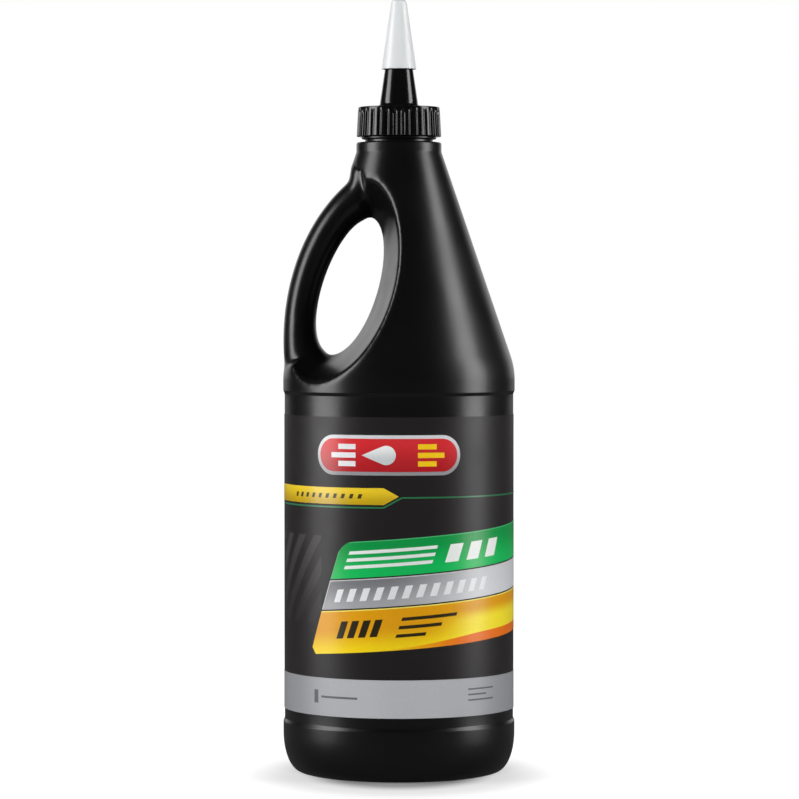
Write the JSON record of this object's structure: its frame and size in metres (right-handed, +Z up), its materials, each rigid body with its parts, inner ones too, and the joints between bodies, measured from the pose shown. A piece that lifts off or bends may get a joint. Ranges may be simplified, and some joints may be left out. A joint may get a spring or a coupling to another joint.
{
  "type": "hydraulic oil bottle",
  "caption": "Quart bottle for hydraulic oil with a pass-through handle, a ribbed screw closure with a conical spout, a pull-off tip cap and a wrap-round label.",
  "frame": {"origin": "middle of the standing ring, on the surface that the bottle stands on", "axes": "+Z up along the bottle's axis, -X towards the handle, -Y towards the front of the label"},
  "size_m": [0.0864, 0.0864, 0.2874],
  "materials": {
    "bottle_black": "satin blown polyethylene",
    "closure_black": "glossy moulded polyethylene",
    "cap_natural": "natural translucent polyethylene",
    "washer_foam": "closed-cell foam",
    "oil": "clear amber liquid",
    "label_film": "satin printed film",
    "ink_silver": "satin print",
    "ink_green": "satin print",
    "ink_yellow": "satin print",
    "ink_red": "satin print",
    "ink_white": "satin print"
  },
  "bodies": {
    "bottle": {"bottle": "bottle_black", "oil": "oil", "label_film": "label_film", "foot_band": "ink_silver", "badge_rim_print": "ink_silver", "badge_field": "ink_red", "badge_drop": "ink_white", "banner_print": "ink_yellow", "banner_line": "ink_green", "green_panel": "ink_green", "silver_panel": "ink_silver", "yellow_panel": "ink_yellow"},
    "washer": {"sealing_washer": "washer_foam"},
    "closure": {"spout_closure": "closure_black"},
    "cap": {"tip_cap": "cap_natural"}
  },
  "joints": [
    {"name": "closure_rise", "type": "slide", "parent": "bottle", "child": "washer", "axis": [0, 0, 1], "range_m": [0, 0.0127]},
    {"name": "closure_twist", "type": "hinge", "parent": "washer", "child": "closure", "pos_m": [0, 0, 0.2452], "axis": [0, 0, 1], "range_deg": [0, 1080]},
    {"name": "tip_cap_pull", "type": "slide", "parent": "closure", "child": "cap", "axis": [0, 0, 1], "range_m": [0, 0.03]}
  ],
  "couplings": [
    {"joint": "closure_rise", "follows": "closure_twist", "m_per_rad": 0.0006737}
  ]
}
